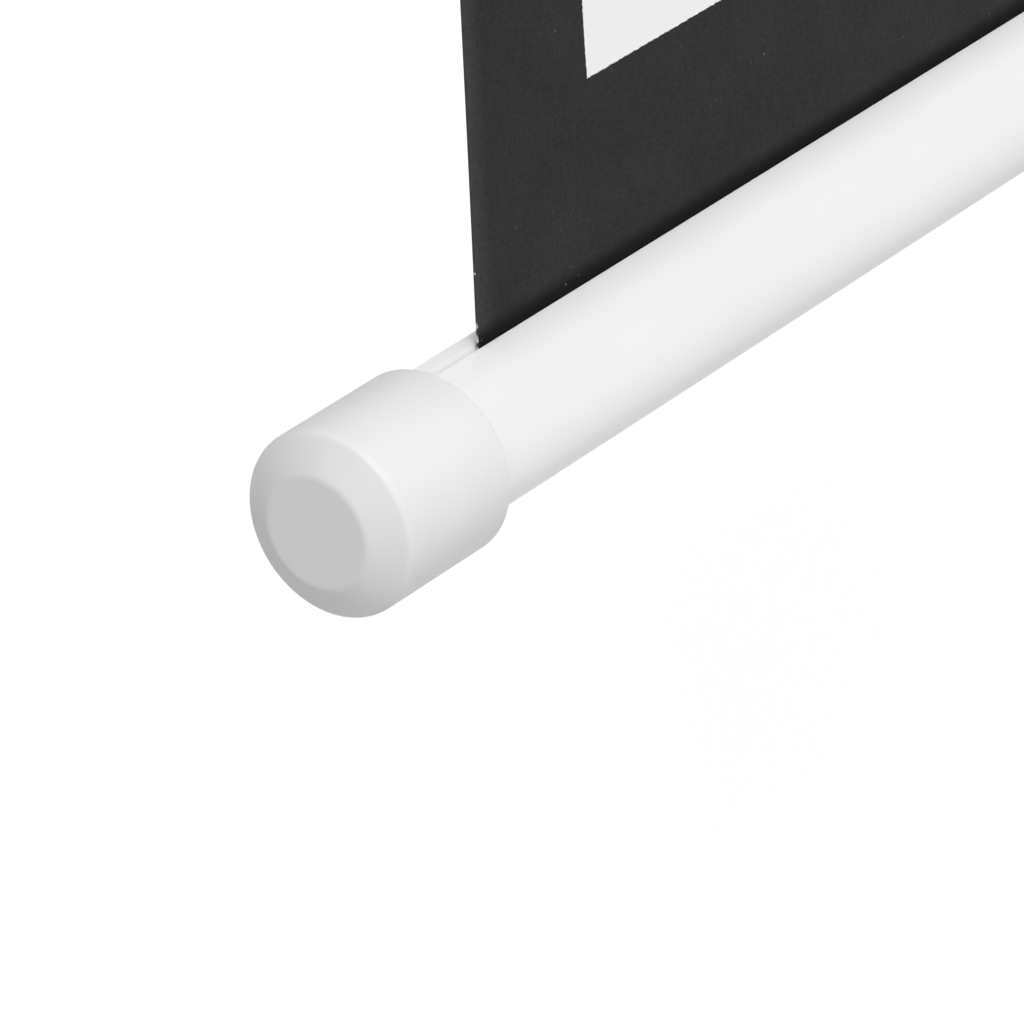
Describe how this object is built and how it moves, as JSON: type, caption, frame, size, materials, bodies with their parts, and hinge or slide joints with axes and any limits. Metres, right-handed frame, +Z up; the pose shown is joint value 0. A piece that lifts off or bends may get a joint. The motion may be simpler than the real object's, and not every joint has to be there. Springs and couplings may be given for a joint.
{
  "type": "pull-down projection screen",
  "caption": "Manual pull-down projection screen: white cloth with black border on a self-locking spring roller in a wall case, round slotted weight bar with end caps and pull loop.",
  "frame": {"origin": "middle of the four wall screw holes, on the wall plane", "axes": "+X to the viewer's right along the case, +Y into the wall, +Z up"},
  "size_m": [1.4, 0.0775, 1.1938],
  "materials": {
    "white_painted_steel": "satin white powder coat on rolled steel",
    "white_moulded_plastic": "satin moulded white plastic",
    "zinc_plated_steel": "bright zinc plate",
    "bright_steel": "turned bright steel",
    "spring_steel": "oiled spring wire",
    "natural_nylon": "moulded natural nylon",
    "white_screen_cloth": "matt white coated cloth, black printed border, black back",
    "black_screen_cloth": "matt black coated cloth"
  },
  "bodies": {
    "case": {"case_shell": "white_painted_steel", "case_end_left": "white_moulded_plastic", "case_end_right": "white_moulded_plastic", "end_screws": "zinc_plated_steel", "mount_angle_left": "zinc_plated_steel", "mount_angle_right": "zinc_plated_steel", "bracket_bolts": "zinc_plated_steel", "bracket_nuts": "zinc_plated_steel", "spear_shaft": "bright_steel", "ratchet_wheel": "bright_steel", "torsion_spring": "spring_steel", "spring_anchor": "natural_nylon", "idle_bush": "natural_nylon", "screen_fabric": "white_screen_cloth"},
    "roller": {"roller_tube": "zinc_plated_steel", "drive_plug": "natural_nylon", "ratchet_cover": "bright_steel", "pawl_pins": "bright_steel", "idle_plug": "natural_nylon", "idle_pin": "bright_steel", "fabric_wraps": "black_screen_cloth"},
    "pawl_upper": {"pawl_upper": "bright_steel"},
    "pawl_lower": {"pawl_lower": "bright_steel"},
    "bar": {"weight_bar": "white_painted_steel", "bar_cap_left": "white_moulded_plastic", "bar_cap_right": "white_moulded_plastic", "hem_rod": "natural_nylon", "fabric_lower_border": "black_screen_cloth", "handle_saddle": "white_moulded_plastic", "handle_screws": "zinc_plated_steel", "handle_pin": "zinc_plated_steel"},
    "handle": {"pull_loop": "white_moulded_plastic"}
  },
  "joints": [
    {"name": "screen_pull", "type": "slide", "parent": "case", "child": "bar", "axis": [0, 0, 1], "range_m": [0, 0.97075], "deforming": ["screen_fabric"]},
    {"name": "roller_turn", "type": "hinge", "parent": "case", "child": "roller", "pos_m": [0, -0.046, -0.057], "axis": [1, 0, 0], "range_deg": [0, 2701]},
    {"name": "pawl_upper_swing", "type": "hinge", "parent": "roller", "child": "pawl_upper", "pos_m": [-0.6564, -0.04114, -0.04658], "axis": [1, 0, 0], "range_deg": [-20, 12]},
    {"name": "pawl_lower_swing", "type": "hinge", "parent": "roller", "child": "pawl_lower", "pos_m": [-0.6564, -0.05086, -0.06742], "axis": [1, 0, 0], "range_deg": [-20, 12]},
    {"name": "handle_swing", "type": "hinge", "parent": "bar", "child": "handle", "pos_m": [0, -0.0254, -1.1168], "axis": [-1, 0, 0], "range_deg": [-20, 80]}
  ],
  "couplings": [
    {"joint": "roller_turn", "follows": "screen_pull", "rad_per_m": 48.544}
  ]
}
